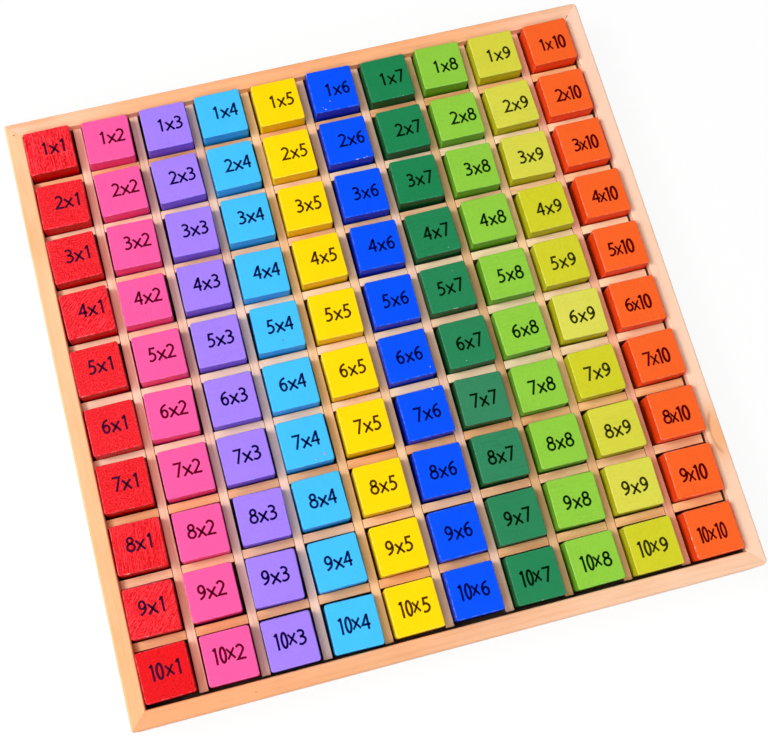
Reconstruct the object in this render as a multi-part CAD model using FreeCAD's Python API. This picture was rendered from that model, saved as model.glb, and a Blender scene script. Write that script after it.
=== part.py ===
import FreeCAD, Part
import math
import os
import random

# Multiplication table puzzle: a shallow square tray of four mitred rails round a thin base, a grid of
# half-lapped strips that makes ten by ten cells, and one painted cube-shaped block in every cell.
# +X runs along a row of the table, from 1x1 to 1x10. +Y points to the back, where row 1 is. +Z is up.
# The origin is at the middle of the tray, on the surface that it stands on.

# Driving dimensions, in millimetres

COLUMNS = 10
ROWS = 10

BLOCK_SIDE = 17.2          # width and depth of a block
BLOCK_HEIGHT = 17.2        # from the base up to the printed face
BLOCK_EDGE = 0.6           # eased edge all round a block
BLOCK_CLEARANCE = 0.61     # between a centred block and each wall of its cell

STRIP_THICKNESS = 3.1
STRIP_HEIGHT = 11.5        # from the base up to the strip's top
STRIP_END_GAP = 0.9        # the grid is this much shorter than the tray, so that it drops in
SLOT_CLEARANCE = 0.15      # between a strip's side and each wall of the slot that takes it

RAIL_WIDTH = 6.0
RAIL_HEIGHT = 19.2
RAIL_TOP_OUTER_ROUND = 0.8
RAIL_TOP_INNER_EASE = 0.35
RAIL_FOOT_EASE = 0.5
CORNER_ROUND_LEFT = 1.0    # the outer corners are sanded round after the mitres are glued,
CORNER_ROUND_RIGHT = 2.2   # and the two on the right have had more of it

BASE_THICKNESS = 3.0
BASE_LIFT = 1.6            # the rails' lower lip, under the base
GROOVE_DEPTH = 2.5
GROOVE_END_GAP = 0.3       # from the base's edge to the bottom of the groove
GROOVE_PLAY = 0.1          # above the base in its groove

TURN_LIMIT = 1.3           # degrees that a loose block may stand turned in its cell
WALL_SPARE = 0.05          # that a slid and turned block still keeps from its cell's walls

# Sizes that follow

CELL = BLOCK_SIDE + 2 * BLOCK_CLEARANCE
PITCH = CELL + STRIP_THICKNESS
GRID_X = COLUMNS * PITCH - STRIP_THICKNESS
GRID_Y = ROWS * PITCH - STRIP_THICKNESS
INNER_X = GRID_X + STRIP_END_GAP
INNER_Y = GRID_Y + STRIP_END_GAP
OUTER_X = INNER_X + 2 * RAIL_WIDTH
OUTER_Y = INNER_Y + 2 * RAIL_WIDTH
FLOOR = BASE_LIFT + BASE_THICKNESS
SLOT_WIDTH = STRIP_THICKNESS + 2 * SLOT_CLEARANCE

# The grid is pushed home against the left and the back rail, so the gap is on the right and in front.
GRID_LEFT = -INNER_X / 2
GRID_BACK = INNER_Y / 2

COLOURS = ("red", "pink", "violet", "sky", "yellow", "blue", "green", "leaf", "lime", "orange")


def point(x, y, z):
    return FreeCAD.Vector(x, y, z)


def face_of(points):
    return Part.Face(Part.makePolygon(points + points[:1]))


def cell_centre(column, row):
    """Middle of a cell. Columns count from the left and rows from the back, both from 1."""
    x = GRID_LEFT + CELL / 2 + (column - 1) * PITCH
    y = GRID_BACK - CELL / 2 - (row - 1) * PITCH
    return x, y


# The rails

def rail_section():
    """Closed outline of a rail across its length: x runs out from the inner face, z up from the foot."""
    groove_top = FLOOR + GROOVE_PLAY
    round_start = point(RAIL_WIDTH, 0, RAIL_HEIGHT - RAIL_TOP_OUTER_ROUND)
    round_end = point(RAIL_WIDTH - RAIL_TOP_OUTER_ROUND, 0, RAIL_HEIGHT)
    slant = RAIL_TOP_OUTER_ROUND * (1 - math.sqrt(0.5))
    round_middle = point(RAIL_WIDTH - slant, 0, RAIL_HEIGHT - slant)
    straight = [
        round_end,
        point(RAIL_TOP_INNER_EASE, 0, RAIL_HEIGHT),
        point(0, 0, RAIL_HEIGHT - RAIL_TOP_INNER_EASE),
        point(0, 0, groove_top),
        point(GROOVE_DEPTH, 0, groove_top),
        point(GROOVE_DEPTH, 0, BASE_LIFT),
        point(0, 0, BASE_LIFT),
        point(0, 0, 0),
        point(RAIL_WIDTH - RAIL_FOOT_EASE, 0, 0),
        point(RAIL_WIDTH, 0, RAIL_FOOT_EASE),
        round_start,
    ]
    edges = [Part.LineSegment(a, b).toShape() for a, b in zip(straight, straight[1:])]
    edges.append(Part.Arc(round_start, round_middle, round_end).toShape())
    return Part.Face(Part.Wire(edges))


def sanded_outline():
    """The tray's outer form with its four standing corners rounded."""
    block = Part.makeBox(OUTER_X, OUTER_Y, RAIL_HEIGHT, point(-OUTER_X / 2, -OUTER_Y / 2, 0))
    for side, radius in ((-1, CORNER_ROUND_LEFT), (1, CORNER_ROUND_RIGHT)):
        standing = [edge for edge in block.Edges if abs(edge.Vertexes[0].Z - edge.Vertexes[1].Z) > RAIL_HEIGHT / 2]
        corners = [edge for edge in standing if abs(edge.Vertexes[0].X - side * OUTER_X / 2) < 0.01]
        block = block.makeFillet(radius, corners)
    return block


def rail(inner_length, inner_face, turn):
    """One rail along the side that faces +X before it is turned, with a mitre at each end."""
    outer_length = inner_length + 2 * RAIL_WIDTH
    bar = rail_section().extrude(point(0, outer_length, 0))
    bar.translate(point(inner_face, -outer_length / 2, 0))
    mitres = face_of([
        point(inner_face, -inner_length / 2, 0),
        point(inner_face + RAIL_WIDTH, -outer_length / 2, 0),
        point(inner_face + RAIL_WIDTH, outer_length / 2, 0),
        point(inner_face, inner_length / 2, 0),
    ]).extrude(point(0, 0, RAIL_HEIGHT))
    bar = bar.common(mitres)
    bar.rotate(point(0, 0, 0), point(0, 0, 1), turn)
    return bar.common(sanded_outline())


# The base

def base_panel():
    """Thin sheet that reaches into the groove of all four rails and lies on their lower lip."""
    reach = GROOVE_DEPTH - GROOVE_END_GAP
    size_x = INNER_X + 2 * reach
    size_y = INNER_Y + 2 * reach
    return Part.makeBox(size_x, size_y, BASE_THICKNESS, point(-size_x / 2, -size_y / 2, BASE_LIFT))


# The strips

def slotted_strip(length, crossings, slots_open_up):
    """A strip on edge along +X from x = 0, with a half-depth slot at each crossing, centred on y = 0."""
    half = STRIP_HEIGHT / 2
    plain_edge = [point(0, 0, 0), point(length, 0, 0)]
    slotted_edge = [point(length, 0, STRIP_HEIGHT)]
    for middle in reversed(crossings):
        slotted_edge.append(point(middle + SLOT_WIDTH / 2, 0, STRIP_HEIGHT))
        slotted_edge.append(point(middle + SLOT_WIDTH / 2, 0, half))
        slotted_edge.append(point(middle - SLOT_WIDTH / 2, 0, half))
        slotted_edge.append(point(middle - SLOT_WIDTH / 2, 0, STRIP_HEIGHT))
    slotted_edge.append(point(0, 0, STRIP_HEIGHT))
    strip = face_of(plain_edge + slotted_edge).extrude(point(0, STRIP_THICKNESS, 0))
    strip.translate(point(0, -STRIP_THICKNESS / 2, 0))
    if not slots_open_up:
        strip.rotate(point(length / 2, 0, half), point(1, 0, 0), 180)
    return strip


def crossings(count):
    """Where the other strips cross, measured from the end that is pushed home."""
    return [number * PITCH - STRIP_THICKNESS / 2 for number in range(1, count)]


def row_strip(number):
    """Lies along X in front of row `number`. Its slots open upwards."""
    strip = slotted_strip(GRID_X, crossings(COLUMNS), slots_open_up=True)
    y = GRID_BACK - crossings(ROWS)[number - 1]
    strip.translate(point(GRID_LEFT, y, FLOOR))
    return strip


def column_strip(number):
    """Lies along Y to the right of column `number`. Its slots open downwards, so its top edge is whole."""
    strip = slotted_strip(GRID_Y, crossings(ROWS), slots_open_up=False)
    strip.rotate(point(0, 0, 0), point(0, 0, 1), -90)
    x = GRID_LEFT + crossings(COLUMNS)[number - 1]
    strip.translate(point(x, GRID_BACK, FLOOR))
    return strip


# The blocks

def plain_block():
    """One wooden cube with every edge eased, standing on z = 0."""
    cube = Part.makeBox(BLOCK_SIDE, BLOCK_SIDE, BLOCK_HEIGHT, point(-BLOCK_SIDE / 2, -BLOCK_SIDE / 2, 0))
    return cube.makeChamfer(BLOCK_EDGE, cube.Edges)


def loose_place(column, row):
    """How far a block has slid and turned in its cell, the same on every run and clear of the walls."""
    chance = random.Random(100 * column + row)
    turn = chance.uniform(-TURN_LIMIT, TURN_LIMIT)
    angle = math.radians(abs(turn))
    corner_swing = BLOCK_SIDE / 2 * (math.cos(angle) + math.sin(angle) - 1)
    free = max(BLOCK_CLEARANCE - corner_swing - WALL_SPARE, 0)
    slide_x = chance.uniform(-free, free)
    # More blocks have slid to the front of their cells than to the back.
    slide_y = chance.triangular(-free, free, -free)
    if column == COLUMNS:
        # The last cells reach past the end of the row strips, so these blocks stand further right.
        slide_x += chance.uniform(0, STRIP_END_GAP)
    return slide_x, slide_y, turn


def block_column(column):
    """The ten blocks of one colour, each a solid of its own, in the cells of one column."""
    blocks = []
    for row in range(1, ROWS + 1):
        block = plain_block()
        x, y = cell_centre(column, row)
        slide_x, slide_y, turn = loose_place(column, row)
        block.rotate(point(0, 0, 0), point(0, 0, 1), turn)
        block.translate(point(x + slide_x, y + slide_y, FLOOR))
        blocks.append(block)
    return Part.makeCompound(blocks)


def save(name, shape):
    shape.exportStep("parts/" + name + ".step")


def main():
    os.makedirs("parts", exist_ok=True)
    save("rail_right", rail(INNER_Y, INNER_X / 2, 0))
    save("rail_back", rail(INNER_X, INNER_Y / 2, 90))
    save("rail_left", rail(INNER_Y, INNER_X / 2, 180))
    save("rail_front", rail(INNER_X, INNER_Y / 2, 270))
    save("base_panel", base_panel())
    for number in range(1, COLUMNS):
        save("column_strip_" + str(number), column_strip(number))
    for number in range(1, ROWS):
        save("row_strip_" + str(number), row_strip(number))
    for column, colour in enumerate(COLOURS[:COLUMNS], start=1):
        save("blocks_" + colour, block_column(column))
    print("tray", OUTER_X, "by", OUTER_Y, "mm, block tops at", FLOOR + BLOCK_HEIGHT)
    print("pitch", PITCH, "cell", CELL)


main()
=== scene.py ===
# %% [markdown]
# # A wooden multiplication table puzzle
# A shallow pine tray holds a hundred painted cubes, ten of each of ten colours, and every cube carries
# its sum in dark print. The model that comes in as the frame already has every rail, strip and cube at
# its true place and size, so this lesson only dresses it: it eases edges, adds the print, and mixes the
# pine, the paint and the ink. All lengths are in metres, in the frame's own axes: +X runs along a row
# of the table from 1x1 to 1x10, +Y points to the back, where row 1 is, and +Z is up.

# %% The packed model comes in as a fixed frame
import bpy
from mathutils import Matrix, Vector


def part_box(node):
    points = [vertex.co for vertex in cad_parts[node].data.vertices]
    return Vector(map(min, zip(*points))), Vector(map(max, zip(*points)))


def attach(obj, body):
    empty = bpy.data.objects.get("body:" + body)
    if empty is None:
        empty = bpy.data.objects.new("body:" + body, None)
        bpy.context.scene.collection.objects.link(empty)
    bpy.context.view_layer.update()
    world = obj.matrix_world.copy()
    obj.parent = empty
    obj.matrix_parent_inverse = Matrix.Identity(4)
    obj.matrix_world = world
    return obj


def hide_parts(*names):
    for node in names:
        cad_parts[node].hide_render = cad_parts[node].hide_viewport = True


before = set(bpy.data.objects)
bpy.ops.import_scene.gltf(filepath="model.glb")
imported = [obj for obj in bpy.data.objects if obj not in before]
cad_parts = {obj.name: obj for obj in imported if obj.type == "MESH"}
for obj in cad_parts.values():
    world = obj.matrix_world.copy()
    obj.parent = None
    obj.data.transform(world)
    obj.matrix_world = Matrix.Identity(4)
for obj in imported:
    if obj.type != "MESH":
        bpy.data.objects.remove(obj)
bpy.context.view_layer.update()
print("CAD nodes:", len(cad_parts))

# %% Tools for this lesson
import math
import random
import bmesh
import bpy
from mathutils import Matrix, Vector

MM = 0.001
# Two heights that are closer than this are the same.
TOUCH = 0.01 * MM
scene = bpy.context.scene
print("Blender", bpy.app.version_string)

# %% [markdown]
# ## What the model knows about itself
# A finish or a number has to sit exactly on its cube, so the places are read from the frame instead of
# being typed again. The four corners of a cube's top face give its middle and how far it has turned in
# its cell. Loose cubes never stand quite square, and that little disorder is what makes the real
# puzzle look like wood and not like a drawing. The row of a corner follows from how far in front of
# the back row it lies.

# %% Places of the ten cubes of a colour
COLOURS = ("red", "pink", "violet", "sky", "yellow", "blue", "green", "leaf", "lime", "orange")
SIDE = 17.2 * MM
PITCH = 21.52 * MM
BACK_ROW = 97.29 * MM
BLOCK_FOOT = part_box("blocks_red")[0].z
BLOCK_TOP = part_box("blocks_red")[1].z


def block_places(colour):
    """Middle of the foot and turn of each cube in a column, from row 1 to row 10."""
    corners = {}
    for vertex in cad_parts["blocks_" + colour].data.vertices:
        x, y, z = vertex.co
        if z > BLOCK_TOP - TOUCH:
            row = round((BACK_ROW - y) / PITCH) + 1
            corners.setdefault(row, set()).add((round(x, 6), round(y, 6)))
    places = []
    for row in range(1, 11):
        points = [Vector(point) for point in corners[row]]
        middle = sum(points, Vector((0, 0))) / len(points)
        right = max(points, key=lambda point: point.x - point.y)
        left = min(points, key=lambda point: point.x + point.y)
        turned = Matrix.Rotation(math.atan2(right.y - left.y, right.x - left.x), 4, "Z")
        places.append(Matrix.Translation((middle.x, middle.y, BLOCK_FOOT)) @ turned)
    return places


places = {colour: block_places(colour) for colour in COLOURS}
turns = [abs(math.degrees(place.to_euler().z)) for column in places.values() for place in column]
print("cubes placed:", len(turns), "largest turn:", round(max(turns), 2), "degrees")

# %% [markdown]
# ## A shorthand for materials
# A material is a graph of nodes, and a graph is hard to read as a list of links. This class wraps one
# output socket. Arithmetic on it adds the Math node that works it out, so a formula for a colour mask
# can be written as a formula. Every other node comes from its one `node` method: first the type, then
# the settings, then what goes into its sockets. Sockets go by name, except on Math and Mix nodes, where
# several sockets share a name and only their number tells them apart.

# %% One output socket of a material
MIX_COLOURS = (6, 7)
MIX_RESULT = 2


class Signal:
    def __init__(self, tree, socket=None):
        self.tree = tree
        self.socket = socket

    def node(self, kind, settings=None, sockets=None, output=0):
        """Adds any shader node: its settings come first, then values or links by socket."""
        made = self.tree.nodes.new("ShaderNode" + kind)
        for setting, value in (settings or {}).items():
            setattr(made, setting, value)
        for key, value in (sockets or {}).items():
            if isinstance(value, Signal):
                self.tree.links.new(value.socket, made.inputs[key])
            else:
                made.inputs[key].default_value = value
        return Signal(self.tree, made.outputs[output])

    def math(self, operation, first, second=0.0):
        return self.node("Math", {"operation": operation}, {0: first, 1: second})

    def __add__(self, other):
        return self.math("ADD", self, other)

    def __radd__(self, other):
        return self.math("ADD", other, self)

    def __sub__(self, other):
        return self.math("SUBTRACT", self, other)

    def __rsub__(self, other):
        return self.math("SUBTRACT", other, self)

    def __mul__(self, other):
        return self.math("MULTIPLY", self, other)

    def __rmul__(self, other):
        return self.math("MULTIPLY", other, self)

    def __abs__(self):
        return self.math("ABSOLUTE", self)

    def rise(self, start, end):
        """A soft step: 0 below start, 1 above end."""
        sockets = {"Value": self, "From Min": start, "From Max": end}
        return self.node("MapRange", {"interpolation_type": "SMOOTHSTEP"}, sockets)

    def blend(self, under, over):
        """Mixes two colours, with this value as the share of the second."""
        first, second = MIX_COLOURS
        return self.node("Mix", {"data_type": "RGBA"}, {0: self, first: under, second: over}, MIX_RESULT)

    def axis(self, name):
        """One number, X, Y or Z, out of a vector."""
        return self.node("SeparateXYZ", {}, {"Vector": self}, name)

    def length(self):
        return self.node("VectorMath", {"operation": "LENGTH"}, {0: self}, "Value")

    def stretch(self, along, across, offset=(0, 0, 0), turned=(0, 0, 0)):
        """The same coordinates in pattern units, drawn out along the X axis of the turned pattern."""
        sockets = {"Vector": self, "Location": offset, "Rotation": turned}
        sockets["Scale"] = (along, across, across)
        return self.node("Mapping", {"vector_type": "TEXTURE"}, sockets)

    def noise(self, detail=2.0, roughness=0.5):
        """Soft noise with one blob per unit of these coordinates."""
        sockets = {"Vector": self, "Scale": 1.0, "Detail": detail, "Roughness": roughness}
        return self.node("TexNoise", {}, sockets)


print("a signal can:", [name for name in vars(Signal) if not name.startswith("_")])

# %% [markdown]
# Every finish starts the same way, from a Principled surface with fixed values for what is the same
# all over it. What changes over the surface is linked later. The white room shows in every gloss, so
# the specular level of these dry surfaces stays low, or their colours would go chalky.

# %% A new finish
def new_finish(name, specular, roughness=0.5):
    material = bpy.data.materials.new(name)
    material.use_nodes = True
    surface = material.node_tree.nodes["Principled BSDF"]
    surface.inputs["Roughness"].default_value = roughness
    surface.inputs["Specular IOR Level"].default_value = specular
    return material, surface, Signal(material.node_tree)


def connect(signal, node, name):
    signal.tree.links.new(signal.socket, node.inputs[name])


def relief(height, surface, depth):
    """Feeds a height pattern to the surface's normal. Depth is the height of a full step."""
    bump = height.node("Bump", {}, {"Strength": 1.0, "Distance": depth, "Height": height})
    connect(bump, surface, "Normal")


print("materials before the first finish:", len(bpy.data.materials))

# %% [markdown]
# ## Pine
# The tray is plain pine, sanded and barely sealed. Pine shows three things at three sizes: broad soft
# changes of tone along a board, growth rings that run as long lines, and fine fibres a fraction of a
# millimetre wide. Each is its own pattern, drawn out along the board. The rings come from a Wave
# texture with a saw-tooth profile, because a ring darkens slowly through the summer and ends sharply.
# Below the strip tops, the walls of the narrow gaps are painted nearly black: painted shade, for the
# shadow deep in the gaps.
# A board can also be given a second tone, which it reaches at its right or back end, or at both ends.

# %% The mark that a side branch leaves beside itself
KNOT_AMBER = (0.86, 0.37, 0.13, 1)
KNOT_BARK = (0.50, 0.20, 0.08, 1)


def knotted(wood, spot, turned, middle, length, width):
    """Amber wood round a point, with one dark curved line on its rim."""
    near = spot.stretch(length, width, middle, turned)
    away = near.length()
    one_side = near.axis("Y").rise(-0.1, 0.25)
    rim = (1 - abs(away - 0.46).rise(0.0, 0.13)) * one_side
    amber = ((1 - away.rise(0.15, 1.1)) * 0.75).blend(wood, KNOT_AMBER)
    return (rim * 0.6).blend(amber, KNOT_BARK)


print("a knot goes from", KNOT_AMBER[:3], "to", KNOT_BARK[:3])

# %% Pine, with the grain along X or Y
STRIP_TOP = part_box("row_strip_5")[1].z
# Painted shade on the gap walls fades out between these two heights, just under the strip tops.
WALL_SHADE_FADE = (STRIP_TOP - 0.45 * MM, STRIP_TOP - 0.15 * MM)
INNER_FACE = 106.5 * MM
# Painted shade: how far the gap walls go towards the near-black colour below.
GAP_WALL_SHADE = 0.85
GAP_SHADE_COLOUR = (0.07, 0.03, 0.018, 1)
RESIN = (0.42, 0.17, 0.07, 1)


def pine(name, along_y, light, deep, seed, contrast, rings, far=None, both=False, knot=None):
    """Far is the tone of the board's end at the right or at the back, or of both its ends."""
    material, surface, start = new_finish(name, 0.2)
    turned = (0, 0, math.pi / 2) if along_y else (0, 0, 0)
    spot = start.node("TexCoord", output="Object")
    chance = random.Random(seed)
    shift = tuple(chance.uniform(-1, 1) for axis in range(3))
    tone = spot.stretch(70 * MM, 16 * MM, shift, turned).noise(2)
    patch = spot.stretch(17 * MM, 5 * MM, shift, turned).noise(2)
    fibre = spot.stretch(9 * MM, 0.28 * MM, shift, turned).noise(2, 0.6)
    streak = spot.stretch(16 * MM, 0.9 * MM, shift, turned).noise(1).rise(0.6, 0.74)
    board = spot.stretch(900 * MM, 6.5 * MM, shift, turned)
    wave = {"wave_type": "RINGS", "rings_direction": "X", "wave_profile": "SAW"}
    waviness = {"Distortion": 1.6, "Detail": 2.0, "Detail Scale": 0.6, "Detail Roughness": 0.5}
    ring = board.node("TexWave", wave, {"Vector": board, "Scale": 1.0, **waviness}, "Fac")
    late = ring.rise(0.45, 0.98)
    clouds = (tone - 0.5) * (1.5 * contrast) + (patch - 0.5) * (0.9 * contrast)
    shade = clouds + late * (0.42 * rings) + (fibre - 0.5) * (0.3 + 0.2 * rings) + 0.22
    x, y, z = (spot.axis(name) for name in "XYZ")
    pale = (*light, 1)
    if far:
        along = y if along_y else x
        reached = abs(along).rise(55 * MM, 112 * MM) if both else along.rise(-90 * MM, 100 * MM)
        pale = reached.blend(pale, (*far, 1))
    colour = shade.rise(0, 1).blend(pale, (*deep, 1))
    stained = (streak * (0.35 * rings)).blend(colour, RESIN)
    if knot:
        stained = knotted(stained, spot, turned, *knot)
    # Painted shade: inside the rails and below the strip tops, the walls of the gaps are darkened nearly
    # to black.
    out = start.math("MAXIMUM", abs(x), abs(y))
    inside = 1 - out.rise(INNER_FACE + 0.02 * MM, INNER_FACE + 0.12 * MM)
    wall = inside * (1 - z.rise(*WALL_SHADE_FADE))
    connect((wall * GAP_WALL_SHADE).blend(stained, GAP_SHADE_COLOUR), surface, "Base Color")
    connect(fibre * 0.2 + 0.45, surface, "Roughness")
    relief(fibre * 0.6 + late * 0.4, surface, 0.06 * MM)
    return material


# Heights and widths that stay free of the gap walls' painted shade.
print("free of painted shade above", round(WALL_SHADE_FADE[0] / MM, 2), "mm and outside", round(INNER_FACE / MM, 2), "mm")

# %% [markdown]
# ## Rails and strips with worked edges
# In the frame a board has knife edges. A real one has been sanded, and the thin bright line along a
# worked edge tells the eye that the thing was made. A copy of the board is merged, its flat faces are
# joined again, and its outer edges get a small bevel. Inner corners, as in the slots, stay sharp,
# because no sandpaper reaches them. Every finished shape is then handed over in the same way: as an
# object at the origin that rides with the tray and carries its finish.

# %% From a finished shape to a piece of the puzzle
def finished_piece(name, shape, finish, second=None):
    """Turns a bmesh into a piece, with smooth shading that keeps flat faces flat."""
    mesh = bpy.data.meshes.new(name)
    shape.to_mesh(mesh)
    shape.free()
    mesh.materials.append(finish)
    if second:
        mesh.materials.append(second)
    for face in mesh.polygons:
        face.use_smooth = True
    piece = bpy.data.objects.new(name, mesh)
    scene.collection.objects.link(piece)
    evened = piece.modifiers.new("flat faces stay flat", "WEIGHTED_NORMAL")
    evened.weight = 60
    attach(piece, "root")
    return piece


# %% A board's copy with eased edges
def ease(shape, edges, offset, segments):
    """Rounds edges off, by the same amount on both of their faces."""
    bmesh.ops.bevel(shape, geom=edges, offset=offset, offset_type="OFFSET", segments=segments,
                    profile=0.5, affect="EDGES", clamp_overlap=True, material=-1)


def is_keen(edge):
    """True for an outer edge that a hand would feel."""
    return edge.is_convex and edge.calc_face_angle(0) > math.radians(40)


def worked_board(node, offset, segments, finish):
    board = bmesh.new()
    board.from_mesh(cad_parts[node].data)
    bmesh.ops.remove_doubles(board, verts=board.verts, dist=0.001 * MM)
    bmesh.ops.dissolve_limit(board, angle_limit=math.radians(1), verts=board.verts, edges=board.edges)
    ease(board, [edge for edge in board.edges if is_keen(edge)], offset, segments)
    bmesh.ops.recalc_face_normals(board, faces=board.faces)
    piece = finished_piece(node + "_worked", board, finish)
    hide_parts(node)
    return piece


print("vertices of the front rail as it comes:", len(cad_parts["rail_front"].data.vertices))

# %% [markdown]
# ## The four rails
# Each rail has its own tone, its own rings and its own way of fading, and the frame comes out paler and
# pinker towards the right.
# The front rail is the brownest at its left end. The right one is the palest, and has the mark of a
# side branch in its front half.

# %% Rails
RAIL_EASE = 0.18 * MM
KNOT = ((110.3 * MM, -63.8 * MM, 19.2 * MM), 15 * MM, 5 * MM)
rail_finishes = {
    "rail_left": pine("pine rail left", True, (0.95, 0.47, 0.235), (0.86, 0.37, 0.15), seed=3,
                      contrast=0.9, rings=0.12, far=(0.96, 0.55, 0.31)),
    "rail_right": pine("pine rail right", True, (0.95, 0.64, 0.46), (0.88, 0.52, 0.33), seed=8,
                       contrast=0.7, rings=0.1, far=(0.96, 0.65, 0.48), knot=KNOT),
    "rail_back": pine("pine rail back", False, (0.94, 0.44, 0.215), (0.80, 0.33, 0.13), seed=5,
                      contrast=0.9, rings=0.4, far=(0.97, 0.60, 0.42), both=True),
    "rail_front": pine("pine rail front", False, (0.81, 0.365, 0.165), (0.71, 0.30, 0.12), seed=12,
                       contrast=0.8, rings=0.3, far=(0.90, 0.57, 0.38)),
}
for node, finish in rail_finishes.items():
    piece = worked_board(node, RAIL_EASE, 2, finish)
    print(node, len(piece.data.polygons), "faces")

# %% [markdown]
# ## The strips of the grid
# Eighteen strips were ripped from a few boards, and the maker took them as they came. So a strip isn't
# given a colour of its own. Each wood below is one board, with the tone of a strip at its left or front
# end, the tone of its dark grain, and the tone at its far end. The left or front end is painted darker:
# painted shade from the cubes beside the strips, and on the row strips also painted red light reflected
# from the red and pink cubes at the left. A list then says which board each strip was cut from.

# %% Strips in one direction
STRIP_EASE = 0.15 * MM


def cut_strips(kind, along_y, woods, cuts, first_seed):
    boards = {}
    for seed, (tone, (light, deep, far)) in enumerate(woods.items(), start=first_seed):
        name = "pine " + kind + " strips " + tone
        boards[tone] = pine(name, along_y, light, deep, seed, contrast=1.2, rings=0.5, far=far)
    for number, tone in enumerate(cuts, start=1):
        node = kind + "_strip_" + str(number)
        worked_board(node, STRIP_EASE, 1, boards[tone])
    print(kind, "strips worked:", len(cuts), "from", len(boards), "boards")


print("strips are eased by", round(STRIP_EASE / MM, 2), "mm")

# %% Strips between the rows, from the back to the front
# Tones: left end, dark grain, right end. The left end holds painted shade and painted red reflected from
# the red and pink cubes.
ROW_WOODS = {
    "amber": ((0.88, 0.44, 0.22), (0.73, 0.31, 0.12), (0.96, 0.55, 0.25)),
    "plain": ((0.92, 0.54, 0.34), (0.77, 0.38, 0.19), (0.97, 0.63, 0.35)),
    "pale": ((0.96, 0.66, 0.48), (0.87, 0.50, 0.31), (0.99, 0.76, 0.48)),
}
ROW_CUTS = ("amber", "pale", "plain", "pale", "pale", "pale", "amber", "plain", "amber")
cut_strips("row", False, ROW_WOODS, ROW_CUTS, first_seed=21)

# %% Strips between the columns, from the left to the right
# Tones: front end, dark grain, back end. The front end holds painted shade.
COLUMN_WOODS = {
    "plain": ((0.96, 0.62, 0.45), (0.76, 0.41, 0.26), (0.98, 0.66, 0.49)),
    "brown": ((0.90, 0.47, 0.30), (0.70, 0.32, 0.18), (0.95, 0.55, 0.38)),
    "amber": ((0.92, 0.56, 0.30), (0.73, 0.38, 0.18), (0.99, 0.65, 0.38)),
    "pale": ((0.98, 0.64, 0.36), (0.88, 0.50, 0.26), (0.99, 0.70, 0.43)),
    "dark": ((0.80, 0.46, 0.24), (0.62, 0.31, 0.14), (0.86, 0.53, 0.29)),
}
COLUMN_CUTS = ("plain", "plain", "plain", "amber", "pale", "plain", "dark", "amber", "brown")
cut_strips("column", True, COLUMN_WOODS, COLUMN_CUTS, first_seed=31)

# %% [markdown]
# ## The plywood base
# The base is a thin sheet in a groove. Only its underside and the narrow gaps round the cubes show it.
# The frame's own solid already has the right shape, so it stays, and gets a plain birch face veneer, for
# which the recipe for pine does well in a flatter, paler mix. That recipe's painted shade for the gap
# walls also covers nearly all of the panel, inside the rails and below the strip tops, and darkens it
# nearly to black.

# %% Plywood on the base
# The pine recipe's painted shade for the gap walls darkens nearly all of this panel.
plywood = pine("birch plywood", False, (0.80, 0.58, 0.36), (0.66, 0.42, 0.22), seed=55,
               contrast=0.7, rings=0.7)
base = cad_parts["base_panel"]
base.material_slots[0].material = plywood
print("base:", base.name, "in", base.material_slots[0].material.name)

# %% [markdown]
# ## Painted cubes
# A cube is sawn from a square stick, tumbled so that its edges go round, and dipped in paint. The
# paint is thin, so the wood still shows: long scratches where the grain lies flat, small dots where it
# stands on end. The shape starts as a unit cube. The standing edges are bevelled first and wider, the
# top and bottom edges after them, which gives the soft, slightly pointed corners of a tumbled cube.
# It is lower than the frame's cube by the thickness of the ink that goes on top.

# %% One cube, standing on z = 0
INK = 0.03 * MM
HEIGHT = BLOCK_TOP - BLOCK_FOOT - INK
STANDING_EASE = 0.8 * MM
TOP_EASE = 0.42 * MM
FOOT_EASE = 0.45 * MM


def edges_at(shape, level):
    """The level edges at one height."""
    return [edge for edge in shape.edges if all(abs(end.co.z - level) < TOUCH for end in edge.verts)]


def tumbled_cube():
    cube = bmesh.new()
    bmesh.ops.create_cube(cube, size=1)
    bmesh.ops.scale(cube, vec=(SIDE, SIDE, HEIGHT), verts=cube.verts)
    bmesh.ops.translate(cube, vec=(0, 0, HEIGHT / 2), verts=cube.verts)
    level = edges_at(cube, HEIGHT) + edges_at(cube, 0)
    ease(cube, [edge for edge in cube.edges if edge not in level], STANDING_EASE, 2)
    ease(cube, edges_at(cube, HEIGHT), TOP_EASE, 2)
    ease(cube, edges_at(cube, 0), FOOT_EASE, 1)
    mesh = bpy.data.meshes.new("tumbled cube")
    cube.to_mesh(mesh)
    cube.free()
    return mesh


cube_mesh = tumbled_cube()
print("one cube:", len(cube_mesh.polygons), "faces")

# %% [markdown]
# Each cube has its own piece of wood under the paint. Three attributes carry that to the material.
# `grain` gives the place in the stick that the cube was cut from, with X along the grain. `spot` gives
# the place on the cube itself, from -1 to 1, which finds the edges, where the paint gets its paler line
# of wear and painted highlight. `batch` tells which pot of paint the cube went into: two pots of one
# colour are never quite the same, as the lime cubes show.

# %% Which way the wood runs in each cube
# The angle from the cube's X axis at which the grain lies on top. A cube on end has none. The angle of
# a cube that isn't named is drawn from LIES, but all other red ones stand on end.
ON_END = None
LYING = {
    ("red", 1): 90,
    ("red", 4): 42,
    ("red", 8): 86,
    ("red", 9): 48,
    ("pink", 1): 88,
    ("pink", 3): 90,
}
LIES = (0, 90, ON_END, ON_END, ON_END)


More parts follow.
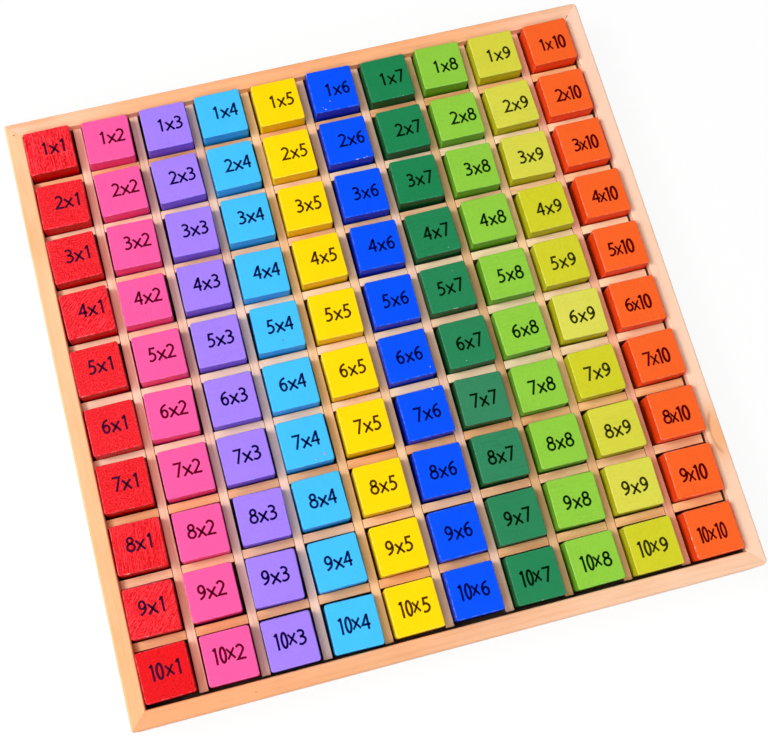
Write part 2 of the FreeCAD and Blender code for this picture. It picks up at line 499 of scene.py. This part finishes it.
def wood_frame(colour, row):
    """Turns a cube's own coordinates so that X follows its grain, and moves it along the stick."""
    chance = random.Random(7 * row + 100 * COLOURS.index(colour))
    cut = Matrix.Translation([chance.uniform(-40, 40) * MM for axis in range(3)])
    usual = ON_END if colour == "red" else chance.choice(LIES)
    angle = LYING.get((colour, row), usual)
    if angle is ON_END:
        return cut @ Matrix.Rotation(math.radians(90 + chance.uniform(-7, 7)), 4, "Y")
    return cut @ Matrix.Rotation(math.radians(-angle + chance.uniform(-3, 3)), 4, "Z")


along = wood_frame("red", 4).inverted().col[0]
print("the grain of 4x1 runs along", [round(value, 2) for value in along.xyz])

# %% The three attributes
# Share of the second pot of paint in each row, for the colours whose cubes differ most.
BATCHES = {
    "red": (0.05, 0.3, 0.35, 0.1, 0.35, 0.4, 0.5, 0.4, 0.2, 0.9),
    "lime": (0.45, 0.65, 0.65, 0.0, 0.05, 1.0, 0.0, 0.45, 0.75, 0.0),
    "green": (0.0, 0.05, 0.0, 0.2, 0.3, 0.4, 1.0, 0.8, 0.5, 0.3),
}


def empty_shape():
    """A bmesh that has room for the three attributes."""
    shape = bmesh.new()
    shape.verts.layers.float_vector.new("grain")
    shape.verts.layers.float_vector.new("spot")
    shape.verts.layers.float.new("batch")
    return shape


def mark_wood(shape, verts, place, colour, row):
    """Writes where each vertex lies in the stick and on its cube."""
    grain = shape.verts.layers.float_vector["grain"]
    spot = shape.verts.layers.float_vector["spot"]
    batch = shape.verts.layers.float["batch"]
    home = place.inverted()
    stick = wood_frame(colour, row)
    pot = BATCHES[colour][row - 1] if colour in BATCHES else random.Random(row).uniform(0, 0.5)
    for vertex in verts:
        local = home @ vertex.co
        vertex[grain] = stick @ local
        vertex[spot] = (local.x / SIDE * 2, local.y / SIDE * 2, local.z / HEIGHT * 2 - 1)
        vertex[batch] = pot


def stamp(shape, mesh, matrix):
    """Adds a mesh to a bmesh at a place, and returns its vertices there."""
    count = len(shape.verts)
    shape.from_mesh(mesh)
    shape.verts.ensure_lookup_table()
    fresh = shape.verts[count:]
    bmesh.ops.transform(shape, matrix=matrix, verts=fresh)
    return fresh


print("colours with two pots of their own:", sorted(BATCHES))

# %% [markdown]
# ## The paint
# One recipe makes all ten colours. The grain pattern is fine noise drawn out along the stick: seen from
# the side it is long scratches, and seen end-on it is dots. It darkens the paint a little and gives it
# relief. Red was put on thinnest, so its wood shows most, and on its tops pale raised grain stands
# through the coat, with painted glints of light on it. Along the edges the paint is paler in a broken
# line: partly wear, partly a painted highlight where the rounded edges catch the light. The sides are
# painted in a darker, deeper copy of the colour: painted shade, which deepens the shade that the lamps
# give them.

# %% Paint in a colour
# Share of white in the paler paint: on the edges for wear and a painted highlight, on the red tops for
# raised grain and painted glints.
BARER = (0.10, 0.17, 0.22)


def paint(name, colour, grain_show=0.12, edge_wear_and_highlight=0.5, other=None, sides=1.0, ridge_and_glint_show=0.0):
    """Other is the second pot's colour. Sides sets how bright the painted shade on the sides is."""
    other = other or tuple(channel * 1.04 for channel in colour)
    material, surface, start = new_finish("paint " + name, 0.07)
    batch = start.node("Attribute", {"attribute_name": "batch"}, output="Fac")
    stick = start.node("Attribute", {"attribute_name": "grain"}, output="Vector")
    spot = start.node("Attribute", {"attribute_name": "spot"}, output="Vector")
    fibre = stick.stretch(7 * MM, 0.24 * MM).noise(1)
    cloud = stick.stretch(9 * MM, 7 * MM).noise(2)
    mottle = stick.stretch(0.9 * MM, 0.5 * MM).noise(1)
    x, y, z = (abs(spot.axis(name)) for name in "XYZ")
    # On an edge two of the three are near 1, so the middle one of them finds it.
    high = start.math("MAXIMUM", start.math("MAXIMUM", x, y), z)
    low = start.math("MINIMUM", start.math("MINIMUM", x, y), z)
    middle = x + y + z - high - low
    rub = stick.stretch(2.4 * MM, 1.1 * MM, (0.31, 0.07, 0.03)).noise(3, 0.6)
    # Painted highlight and wear: a broken paler line along every edge, partly paint lost to wear, partly
    # the light caught by the rounded edges.
    thin = middle.rise(0.925, 0.985) * rub.rise(0.42, 0.66)
    # Painted shade: below the rounded top edge every side takes this darker, deeper copy of the paint.
    side_shade = tuple(channel ** 1.35 * sides for channel in colour)
    deep = tuple(channel * 0.45 for channel in side_shade)
    pale = tuple(channel + (1 - channel) * share for channel, share in zip(colour, BARER))
    side = 1 - z.rise(0.93, 0.99)
    coat = side.blend(batch.blend((*colour, 1), (*other, 1)), (*side_shade, 1))
    lines = (fibre.rise(0.36, 0.72) - 0.34) * grain_show + (0.02 + 0.5 * ridge_and_glint_show)
    dots = (cloud - 0.5) * 0.2 - (mottle - 0.5) * (0.15 + 1.6 * grain_show)
    coated = (lines + dots).blend(coat, (*deep, 1))
    # Painted glints and raised grain: pale marks on the tops of the red cubes, partly wood standing
    # through the coat, partly glints of light painted in.
    raised = start.math("MAXIMUM", 1 - fibre.rise(0.34, 0.50), mottle.rise(0.50, 0.66) * 0.8)
    ridges_and_glints = raised * (1 - side) * (1 - batch) * ridge_and_glint_show
    shown = ridges_and_glints.blend(coated, (*pale, 1))
    rubbed_and_highlit = (thin * edge_wear_and_highlight).blend(shown, (*pale, 1))
    connect(rubbed_and_highlit, surface, "Base Color")
    connect(fibre * 0.16 + 0.3, surface, "Roughness")
    relief(fibre * (0.3 + 2 * grain_show) + mottle * (3 * grain_show), surface, 0.05 * MM)
    return material


print("share of white where the paint is rubbed off:", BARER)

# %% The ten paints
PAINTS = {
    "red": paint("red", (0.93, 0.007, 0.014), grain_show=0.5, other=(0.83, 0.003, 0.006), sides=0.75,
                 ridge_and_glint_show=0.3),
    "pink": paint("pink", (0.93, 0.098, 0.335), grain_show=0.16),
    "violet": paint("violet", (0.35, 0.205, 0.93), grain_show=0.10, sides=0.85),
    "sky": paint("sky", (0.055, 0.50, 0.95), grain_show=0.10),
    "yellow": paint("yellow", (0.95, 0.66, 0.002), grain_show=0.10),
    "blue": paint("blue", (0.002, 0.080, 0.93), edge_wear_and_highlight=0.6, sides=0.65),
    "green": paint("green", (0.012, 0.215, 0.075), grain_show=0.16, edge_wear_and_highlight=0.4,
                   other=(0.035, 0.225, 0.105), sides=0.72),
    "leaf": paint("leaf", (0.265, 0.57, 0.050), sides=0.85),
    "lime": paint("lime", (0.62, 0.60, 0.022), other=(0.70, 0.68, 0.090)),
    "orange": paint("orange", (0.93, 0.125, 0.020), grain_show=0.14),
}
print("paints:", len(PAINTS))

# %% The hundred cubes, one piece for each colour
for colour in COLOURS:
    column = empty_shape()
    for row, place in enumerate(places[colour], start=1):
        fresh = stamp(column, cube_mesh, place)
        mark_wood(column, fresh, place, colour, row)
    piece = finished_piece(colour + "_cubes", column, PAINTS[colour])
    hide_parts("blocks_" + colour)
    print(colour, "cubes:", len(piece.data.polygons), "faces")

# %% [markdown]
# ## The numbers
# The print is a plain humanist hand: strokes of one width, a flag on the 1, an open 4. A font would
# bring hundreds of points for each figure. Here each figure is a pen path instead, as a sign painter
# would plan it: a few points that the pen passes, some of them corners. The path becomes a wire, the
# wire is lifted into a wall as high as the ink is thick, and Solidify gives the wall the nib's width.
# All figures stand in millimetres on a line at y = 0. The narrow 1 and 0 are for the 10.

# %% Pen paths
NIB = 0.78
CORNER = True
FIGURES = {
    "1": [[(1.05, 4.02, CORNER), (1.9, 4.80, CORNER)], [(2.0, 5.22, CORNER), (2.0, 0, CORNER)]],
    "2": [[(0.45, 4.32), (1.60, 4.93), (2.72, 3.75), (1.90, 2.10), (0.52, 0.40, CORNER),
           (3.30, 0.33, CORNER)]],
    "3": [[(0.56, 4.62), (1.55, 4.93), (2.56, 3.95), (1.80, 2.95), (1.10, 2.80)],
          [(1.10, 2.80), (2.02, 2.70), (2.86, 1.60), (1.68, 0.33), (0.42, 0.55)]],
    "4": [[(3.20, 1.72, CORNER), (0.50, 1.72, CORNER), (2.30, 4.95, CORNER)],
          [(2.42, 5.22, CORNER), (2.42, 0, CORNER)]],
    "5": [[(2.95, 4.90, CORNER), (1.22, 4.90, CORNER), (1.02, 2.95, CORNER), (1.75, 3.05),
           (2.75, 1.72), (1.62, 0.33), (0.45, 0.52)]],
    "6": [[(2.72, 4.92), (1.30, 4.10), (0.72, 1.95), (1.80, 0.33), (2.82, 1.62), (1.85, 2.95),
           (0.85, 2.25)]],
    "7": [[(0.42, 4.90, CORNER), (2.95, 4.90, CORNER), (1.35, 0, CORNER)]],
    "9": [[(0.82, 0.36), (2.25, 1.25), (2.83, 3.25), (1.75, 4.92), (0.75, 3.65), (1.72, 2.35),
           (2.72, 3.05)]],
    "x": [[(0.0, 0, CORNER), (2.78, 3.55, CORNER)], [(2.78, 0, CORNER), (0.0, 3.55, CORNER)]],
    "narrow 1": [[(0.05, 4.72, CORNER), (0.8, 5.36, CORNER)],
                 [(0.90, 5.72, CORNER), (0.90, 0, CORNER)]],
}
# A closed figure is made of rings: middle, then half width and half height.
RINGS = {
    "8": [((1.78, 3.92), 0.93, 1.0), ((1.78, 1.60), 1.24, 1.28)],
    "narrow 0": [((1.10, 2.86), 0.83, 2.53)],
}
print("figures:", len(FIGURES) + len(RINGS))

# %% From a pen path to a wire
def pen_wire(strokes):
    """A mesh of edges only, along the strokes of a figure."""
    curve = bpy.data.curves.new("pen", "CURVE")
    curve.dimensions = "3D"
    curve.resolution_u = 4
    for stroke in strokes:
        line = curve.splines.new("BEZIER")
        line.bezier_points.add(len(stroke) - 1)
        for point, (x, y, *corner) in zip(line.bezier_points, stroke):
            point.co = (x, y, 0)
            kind = "VECTOR" if corner else "AUTO"
            point.handle_left_type = kind
            point.handle_right_type = kind
    holder = bpy.data.objects.new("pen", curve)
    scene.collection.objects.link(holder)
    bpy.context.view_layer.update()
    wire = bpy.data.meshes.new_from_object(holder)
    bpy.data.objects.remove(holder)
    return wire


wires = {name: pen_wire(strokes) for name, strokes in FIGURES.items()}
print("points of each wire:", {name: len(wire.vertices) for name, wire in wires.items()})

# %% From a wire to a thin plate of ink
def ink_plate(wire=None, rings=()):
    """One figure as a closed plate: the wire is raised to a wall, and the wall gets the nib's width."""
    shape = bmesh.new()
    if wire is not None:
        shape.from_mesh(wire)
    for middle, half_width, half_height in rings:
        scale = Matrix.Diagonal((half_width, half_height, 1, 1))
        bmesh.ops.create_circle(shape, segments=18, radius=1,
                                matrix=Matrix.Translation((*middle, 0)) @ scale)
    wall = bmesh.ops.extrude_edge_only(shape, edges=shape.edges[:])
    raised = [item for item in wall["geom"] if isinstance(item, bmesh.types.BMVert)]
    bmesh.ops.translate(shape, vec=(0, 0, 1), verts=raised)
    mesh = bpy.data.meshes.new("wall")
    shape.to_mesh(mesh)
    shape.free()
    holder = bpy.data.objects.new("wall", mesh)
    scene.collection.objects.link(holder)
    nib = holder.modifiers.new("nib", "SOLIDIFY")
    nib.thickness = NIB
    nib.offset = 0
    nib.use_even_offset = True
    solid = holder.evaluated_get(bpy.context.evaluated_depsgraph_get())
    plate = bpy.data.meshes.new_from_object(solid)
    bpy.data.objects.remove(holder)
    closed = bmesh.new()
    closed.from_mesh(plate)
    bmesh.ops.recalc_face_normals(closed, faces=closed.faces)
    closed.to_mesh(plate)
    closed.free()
    return plate


plates = {name: ink_plate(wire) for name, wire in wires.items()}
plates.update({name: ink_plate(rings=rings) for name, rings in RINGS.items()})
print("faces of each plate:", {name: len(plate.polygons) for name, plate in plates.items()})

# %% [markdown]
# A sum is set from left to right. The 10 is narrower and taller than the other figures, and the x
# moves up a little beside it, as on the real cubes.

# %% Setting a sum
def typeset(row, column):
    """For each figure: its left edge and the height of its line in millimetres, and a width factor."""
    wide = 1.06 if column < 5 else 0.97
    if row < 10 and column < 10:
        return [(str(row), 0, 0, 1), ("x", 5.15 - 1.4 * wide, 0, wide), (str(column), 6.72, 0, 1)]
    if row < 10:
        # On 1x10 the 1 and the x stand a little further from the 10.
        start = 0.7 if row == 1 else 0
        return [(str(row), -start, 0.33, 1), ("x", 3.15 - start, 0.33, 0.82),
                ("narrow 1", 5.75, 0, 1.05), ("narrow 0", 7.5, 0, 1.2)]
    ten = ("narrow 1", 0.05, 0, 1)
    if column == 1:
        return [ten, ("narrow 0", 2.0, 0, 1.15), ("x", 5.25, 0.6, 0.92), ("1", 7.9, 0.3, 1)]
    if column < 10:
        return [ten, ("narrow 0", 2.1, 0, 1.05), ("x", 4.65, 0.95, 0.86 * wide),
                (str(column), 7.45, 0, 1)]
    return [ten, ("narrow 0", 1.6, 0, 0.9), ("x", 3.85, 0.55, 0.76), ("narrow 1", 6.55, 0, 0.95),
            ("narrow 0", 8.15, 0, 0.93)]


def middle_of(parts):
    """Middle of the box round a set sum."""
    xs = []
    ys = []
    for figure, left, line, width in parts:
        for vertex in plates[figure].vertices:
            xs.append(left + vertex.co.x * width)
            ys.append(line + vertex.co.y)
    return Vector(((min(xs) + max(xs)) / 2, (min(ys) + max(ys)) / 2))


print("10x10 middle:", tuple(round(value, 2) for value in middle_of(typeset(10, 10))))

# %% [markdown]
# All cubes lie in one jig while they are printed, so one small slip of the jig shows on all of them:
# the whole sheet of sums sits a little to the right and is turned by half a degree. That is why the
# sums of row 1 stand further right on their cubes than those of row 10. The last two columns, with
# the widest sums, were set back towards the middle.

# %% Where a sum lands on its cube
SHEET_TURN = math.radians(-0.5)
SHEET_SLIP = Vector((0.9, 0.06)) * MM
SET_BACK = {9: 0.4 * MM, 10: 0.9 * MM}


def print_place(row, column):
    """From typeset millimetres to the cube's own coordinates."""
    chance = random.Random(31 * row + column)
    nominal = Vector(((column - 5.5) * PITCH, (5.5 - row) * PITCH))
    turned = Matrix.Rotation(SHEET_TURN, 2) @ nominal
    slip = turned - nominal + SHEET_SLIP
    slip += Vector((chance.uniform(-0.25, 0.25), chance.uniform(-0.15, 0.15))) * MM
    slip.x -= SET_BACK.get(column, 0)
    lift = Matrix.Translation((slip.x, slip.y, HEIGHT - INK / 2))
    scale = Matrix.Diagonal((MM, MM, INK * 1.5, 1))
    return lift @ Matrix.Rotation(SHEET_TURN, 4, "Z") @ scale


print("slip on 1x1:", tuple(round(value / MM, 2) for value in print_place(1, 1).translation.xy))

# %% [markdown]
# ## The ink
# The print is one thin dark ink, but it isn't quite opaque, so it takes a tint from the paint under it:
# purple on red, navy on sky. Each colour gets its own mix. Where the wood is rough the ink lies thinner,
# and a little of the paint shows through, in the same grain that the paint has.

# %% Ink for a colour
def ink(name, colour, paint_colour):
    material, surface, start = new_finish("print on " + name, 0.01)
    stick = start.node("Attribute", {"attribute_name": "grain"}, output="Vector")
    fibre = stick.stretch(7 * MM, 0.42 * MM).noise(2, 0.6)
    blot = stick.stretch(1.1 * MM, 0.8 * MM).noise(2)
    through = fibre.rise(0.52, 0.85) * 0.22 + blot.rise(0.5, 0.85) * 0.08
    mixed = tuple(0.8 * dark + 0.2 * bright for dark, bright in zip(colour, paint_colour))
    connect(through.blend((*colour, 1), (*mixed, 1)), surface, "Base Color")
    connect(fibre * 0.2 + 0.35, surface, "Roughness")
    relief(fibre, surface, 0.02 * MM)
    return material


# The ink's colour on each paint, and the paint that shows through it.
INKS = {
    "red": ((0.045, 0.005, 0.028), (0.5, 0.01, 0.02)),
    "pink": ((0.130, 0.001, 0.020), (0.6, 0.05, 0.2)),
    "violet": ((0.008, 0.001, 0.060), (0.2, 0.12, 0.6)),
    "sky": ((0.001, 0.015, 0.095), (0.03, 0.3, 0.6)),
    "yellow": ((0.085, 0.030, 0.000), (0.6, 0.4, 0.0)),
    "blue": ((0.000, 0.003, 0.085), (0.0, 0.05, 0.6)),
    "green": ((0.000, 0.009, 0.002), (0.01, 0.12, 0.04)),
    "leaf": ((0.003, 0.020, 0.000), (0.15, 0.35, 0.03)),
    "lime": ((0.038, 0.034, 0.000), (0.4, 0.4, 0.02)),
    "orange": ((0.110, 0.001, 0.000), (0.6, 0.08, 0.01)),
}
print("inks:", len(INKS))

# %% The printed sums, one piece for each colour
for column, colour in enumerate(COLOURS, start=1):
    sums = empty_shape()
    for row, place in enumerate(places[colour], start=1):
        parts = typeset(row, column)
        middle = middle_of(parts)
        sheet = place @ print_place(row, column)
        fresh = []
        for figure, left, line, width in parts:
            move = Matrix.Translation((left - middle.x, line - middle.y, 0))
            fresh += stamp(sums, plates[figure], sheet @ move @ Matrix.Diagonal((width, 1, 1, 1)))
        mark_wood(sums, fresh, place, colour, row)
    piece = finished_piece(colour + "_sums", sums, ink(colour, *INKS[colour]))
    print(colour, "sums:", len(piece.data.polygons), "faces")

# %% [markdown]
# ## Wear
# These cubes have been played with. Here and there the paint has chipped off an edge down to the pale
# wood, and a few tops carry a speck. A chip is modelled as what it is, a small patch with an uneven
# outline: a ball of twenty faces, pressed flat, with its corners pushed about a little. Places are given
# on the cube's top from -1 to 1. A patch whose place is a full 1 out lies on the rounded edge.

# %% Chips and specks: row, place, length and width in mm
CHIPS = {
    "red": [(5, -0.87, -1, 0.8, 0.45), (4, -0.25, -1, 0.6, 0.3), (8, -0.60, -1, 1.5, 0.4),
            (9, -0.35, -1, 0.8, 0.4)],
    "violet": [(10, -1, 0.45, 0.4, 0.3), (10, -1, -0.35, 0.6, 0.25), (10, -1, -0.55, 0.5, 0.25),
               (10, -1, -0.80, 0.4, 0.2)],
    "sky": [(7, 0.65, -0.70, 1.9, 0.6), (7, 0.25, -0.86, 0.6, 0.4)],
    "blue": [(1, -0.25, -0.54, 0.7, 0.35), (1, -0.52, -0.89, 0.9, 0.4), (1, -0.62, -0.78, 0.5, 0.3),
             (1, -1, 0.88, 0.7, 0.3), (2, 0.25, -1, 1.1, 0.5), (2, 0.55, -1, 0.9, 0.35),
             (2, 0.67, -0.95, 0.5, 0.4), (6, 0.80, -0.70, 0.6, 0.4), (7, 0.54, 0.90, 0.8, 0.5),
             (7, 1, 0.37, 0.6, 0.3), (7, 1, -0.16, 0.6, 0.35), (7, 1, -0.94, 0.7, 0.4),
             (10, -1, -0.82, 0.6, 0.3), (10, -1, -0.50, 0.5, 0.25)],
    "green": [(1, 0, -1, 0.4, 0.25), (1, 0.45, -1, 0.4, 0.25), (4, 0.44, -0.82, 0.5, 0.35),
              (5, 0.05, -1, 3.0, 0.3), (5, 0.37, 0.66, 0.4, 0.3), (6, -0.25, -0.77, 0.45, 0.35),
              (10, 0, -1, 0.5, 0.3)],
    "leaf": [(9, -0.33, -1, 1.6, 0.3)],
    "lime": [(1, 0.66, 0.0, 0.8, 0.5)],
    "orange": [(10, -1, -0.10, 2.2, 0.3), (10, -1, -0.50, 0.8, 0.6), (10, -1, -0.85, 0.9, 0.3),
               (9, -1, 0.75, 1.2, 0.25)],
}
SPECKS = {
    "sky": [(5, 0.10, -0.62, 0.7, 0.45)],
    "green": [(5, -0.20, -0.82, 0.5, 0.4), (7, -0.76, -0.30, 0.4, 0.35)],
}
print("chips:", sum(map(len, CHIPS.values())), "specks:", sum(map(len, SPECKS.values())))

# %% Where a patch lies, and its shape
EDGE_INSET = 0.12 * MM
PATCH_HEIGHT = 0.02 * MM
EDGE_TURNS = {(0, -1): 0, (1, 0): 90, (0, 1): 180, (-1, 0): -90}


def patch_place(x, y, chance):
    """Where a patch lies on a cube: flat on the top, or tilted on the rounded edge."""
    side = (int(x) if abs(x) == 1 else 0, int(y) if abs(y) == 1 else 0)
    if side == (0, 0):
        flat = Matrix.Translation((x * SIDE / 2, y * SIDE / 2, HEIGHT))
        return flat @ Matrix.Rotation(math.radians(chance.uniform(-75, -45)), 4, "Z")
    out = (x * SIDE / 2 - side[0] * EDGE_INSET, y * SIDE / 2 - side[1] * EDGE_INSET)
    move = Matrix.Translation((*out, HEIGHT - EDGE_INSET))
    turn = Matrix.Rotation(math.radians(EDGE_TURNS[side]), 4, "Z")
    return move @ turn @ Matrix.Rotation(math.radians(45), 4, "X")


def add_patch(shape, matrix, length, width, chance, finish_number=0):
    """A flat patch with an uneven outline and its length along X. No part of it stands over the tops."""
    made = bmesh.ops.create_icosphere(shape, subdivisions=1, radius=1)["verts"]
    for vertex in made:
        vertex.co *= chance.uniform(0.7, 1.1)
    scale = Matrix.Diagonal((length * MM / 2, width * MM / 2, PATCH_HEIGHT, 1))
    bmesh.ops.transform(shape, matrix=matrix @ scale, verts=made)
    for vertex in made:
        vertex.co.z = min(vertex.co.z, BLOCK_TOP)
    for face in {face for vertex in made for face in vertex.link_faces}:
        face.material_index = finish_number


print("a patch is a ball pressed to", round(2 * PATCH_HEIGHT / MM, 2), "mm")

# %% Bare wood and grime
def plain_finish(name, light, deep):
    """Two tones in fine grains, for patches of a few millimetres at most."""
    material, surface, start = new_finish(name, 0.2)
    spot = start.node("TexCoord", output="Object")
    grains = spot.stretch(0.5 * MM, 0.3 * MM).noise(2)
    connect(grains.rise(0.35, 0.65).blend((*light, 1), (*deep, 1)), surface, "Base Color")
    connect(grains * 0.2 + 0.5, surface, "Roughness")
    relief(grains, surface, 0.01 * MM)
    return material


bare = plain_finish("bare wood under paint", (0.80, 0.74, 0.70), (0.66, 0.55, 0.46))
stray = plain_finish("stray pink paint", (0.90, 0.42, 0.68), (0.93, 0.25, 0.52))
grime = plain_finish("grime", (0.10, 0.05, 0.025), (0.05, 0.025, 0.012))
print("finishes for patches:", bare.name, "/", stray.name, "/", grime.name)

# %% The wear of each colour that has any
for colour, chips in CHIPS.items():
    chance = random.Random(colour)
    wear = bmesh.new()
    for finish_number, marks in enumerate((chips, SPECKS.get(colour, ()))):
        for row, x, y, length, width in marks:
            matrix = places[colour][row - 1] @ patch_place(x, y, chance)
            add_patch(wear, matrix, length, width, chance, finish_number)
    under = stray if colour == "sky" else bare
    piece = finished_piece(colour + "_wear", wear, under, grime)
    print(colour, "wear:", len(piece.data.polygons), "faces")

# %% [markdown]
# The tray has a few marks too: a dark speck on the left rail, a small one in front, one mitre whose
# glue line has opened, and a stain on a strip. They are the same patches, laid flat on the wood.

# %% Marks on the wood: place, length and width in mm, and turn in degrees
WOOD_MARKS = {
    "rail_marks": ("rail_pine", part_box("rail_left")[1].z,
                   [(-109.6, 107.8, 0.9, 0.6, 30), (-69.7, -109.9, 0.8, 0.3, 0),
                    (107.2, 107.2, 2.0, 0.3, 45)]),
    "strip_mark": ("row_strip_wood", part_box("row_strip_9")[1].z, [(82.1, -84.0, 1.0, 0.5, 20)]),
}
for name, (slot, height, marks) in WOOD_MARKS.items():
    chance = random.Random(name)
    shape = bmesh.new()
    for x, y, length, width, turn in marks:
        turned = Matrix.Rotation(math.radians(turn), 4, "Z")
        matrix = Matrix.Translation((x * MM, y * MM, height)) @ turned
        add_patch(shape, matrix, length, width, chance)
    piece = finished_piece(name, shape, grime)
    print(name, len(piece.data.polygons), "faces")

# %% [markdown]
# ## The studio
# The photograph is a plain catalogue picture with its main light high on the left. The floor is white
# all over, but keeps a faint shadow beside the tray: part of it is ordinary white paint, and part shines
# white where the camera or a reflection sees it. Further away it only shines, so that it has no edge.

# %% What the camera or a reflection sees
SEEN_RAYS = ("Is Camera Ray", "Is Glossy Ray", "Is Transmission Ray")


def seen(start):
    """1 for rays from the camera and in reflections, 0 for those that only carry light."""
    rays = [start.node("LightPath", output=kind) for kind in SEEN_RAYS]
    return start.math("MINIMUM", rays[0] + rays[1] + rays[2], 1.0)


print("white for:", SEEN_RAYS)

# %% Floor
SHADOW_ENDS = (0.14, 0.40)
PAINT_SHARE = 0.08


def white_floor():
    ground = bmesh.new()
    bmesh.ops.create_grid(ground, x_segments=4, y_segments=4, size=2.0)
    bmesh.ops.translate(ground, vec=(0, 0, -0.02 * MM), verts=ground.verts)
    mesh = bpy.data.meshes.new("white floor")
    ground.to_mesh(mesh)
    ground.free()
    floor = bpy.data.objects.new("white_floor", mesh)
    scene.collection.objects.link(floor)
    material, surface, start = new_finish("white floor", 0.1, roughness=0.9)
    surface.inputs["Base Color"].default_value = (0.92, 0.92, 0.92, 1)
    paint_layer = Signal(start.tree, surface.outputs["BSDF"])
    glow = start.node("Emission", {}, {"Color": (1, 1, 1, 1), "Strength": 1.0})
    away = start.node("TexCoord", output="Object").length().rise(*SHADOW_ENDS)
    share = seen(start) * (away * PAINT_SHARE + (1 - PAINT_SHARE))
    mixed = start.node("MixShader", {}, {0: share, 1: paint_layer, 2: glow})
    connect(mixed, start.tree.nodes["Material Output"], "Surface")
    mesh.materials.append(material)
    return floor


floor = white_floor()
print("floor half width:", floor.dimensions.x / 2)

# %% White room
ROOM_LIGHT = 0.02
world = bpy.data.worlds.new("white room")
scene.world = world
world.use_nodes = True
backdrop = world.node_tree.nodes["Background"]
backdrop.inputs["Color"].default_value = (1, 1, 1, 1)
strength = seen(Signal(world.node_tree)) * (1 - ROOM_LIGHT) + ROOM_LIGHT
connect(strength, backdrop, "Strength")
print("the room lights with", ROOM_LIGHT, "and is seen as 1.0")

# %% [markdown]
# Five round lamps light the tray. The key is the smallest and strongest, so it draws the short dark
# shadows on the right of each cube. Two big window lamps on the same side soften it, a panel in front
# fills the front faces, and a low one on the right keeps the right-hand faces from going black.

# %% Lamps
LAMP_DISTANCE = 1.6


def soft_lamp(name, azimuth, elevation, size, watts):
    """A round lamp that looks at the middle of the tray. Azimuth 0 is in front and 90 on the right."""
    lamp = bpy.data.lights.new(name, "AREA")
    lamp.shape = "DISK"
    lamp.size = size
    lamp.energy = watts
    holder = bpy.data.objects.new(name, lamp)
    scene.collection.objects.link(holder)
    turn = math.radians(azimuth)
    rise = math.radians(elevation)
    aim = Vector((math.sin(turn) * math.cos(rise), -math.cos(turn) * math.cos(rise), math.sin(rise)))
    holder.location = aim * LAMP_DISTANCE
    holder.rotation_euler = aim.to_track_quat("Z", "Y").to_euler()
    return holder


lamps = (
    soft_lamp("key", -103, 48, size=0.5, watts=12),
    soft_lamp("high window", -99, 58, size=1.4, watts=11),
    soft_lamp("side window", -60, 45, size=1.4, watts=8.5),
    soft_lamp("front panel", 0, 50, size=1.0, watts=8),
    soft_lamp("low right panel", 90, 7, size=0.8, watts=6),
)
print("lamps at", [tuple(round(value, 2) for value in lamp.location) for lamp in lamps])

# %% [markdown]
# ## The camera
# The camera stands in front and to the left, almost overhead, and is rolled a little. Its place comes
# from fitting the tops of the cubes, the strips and the rails to the photograph.

# %% Camera
view = bpy.data.cameras.new("camera")
view.sensor_width = 36
view.lens = 60.13
view.shift_x = 0.068
view.shift_y = -0.0054
view.clip_start = 0.01
view.clip_end = 20
camera = bpy.data.objects.new("camera", view)
scene.collection.objects.link(camera)
camera.location = (-62.40 * MM, -119.89 * MM, 461.23 * MM)
camera.rotation_euler = [math.radians(angle) for angle in (15.3619, -2.0347, -14.5377)]
scene.camera = camera
scene.view_settings.view_transform = "Standard"
print("camera height:", round(camera.location.z, 3))
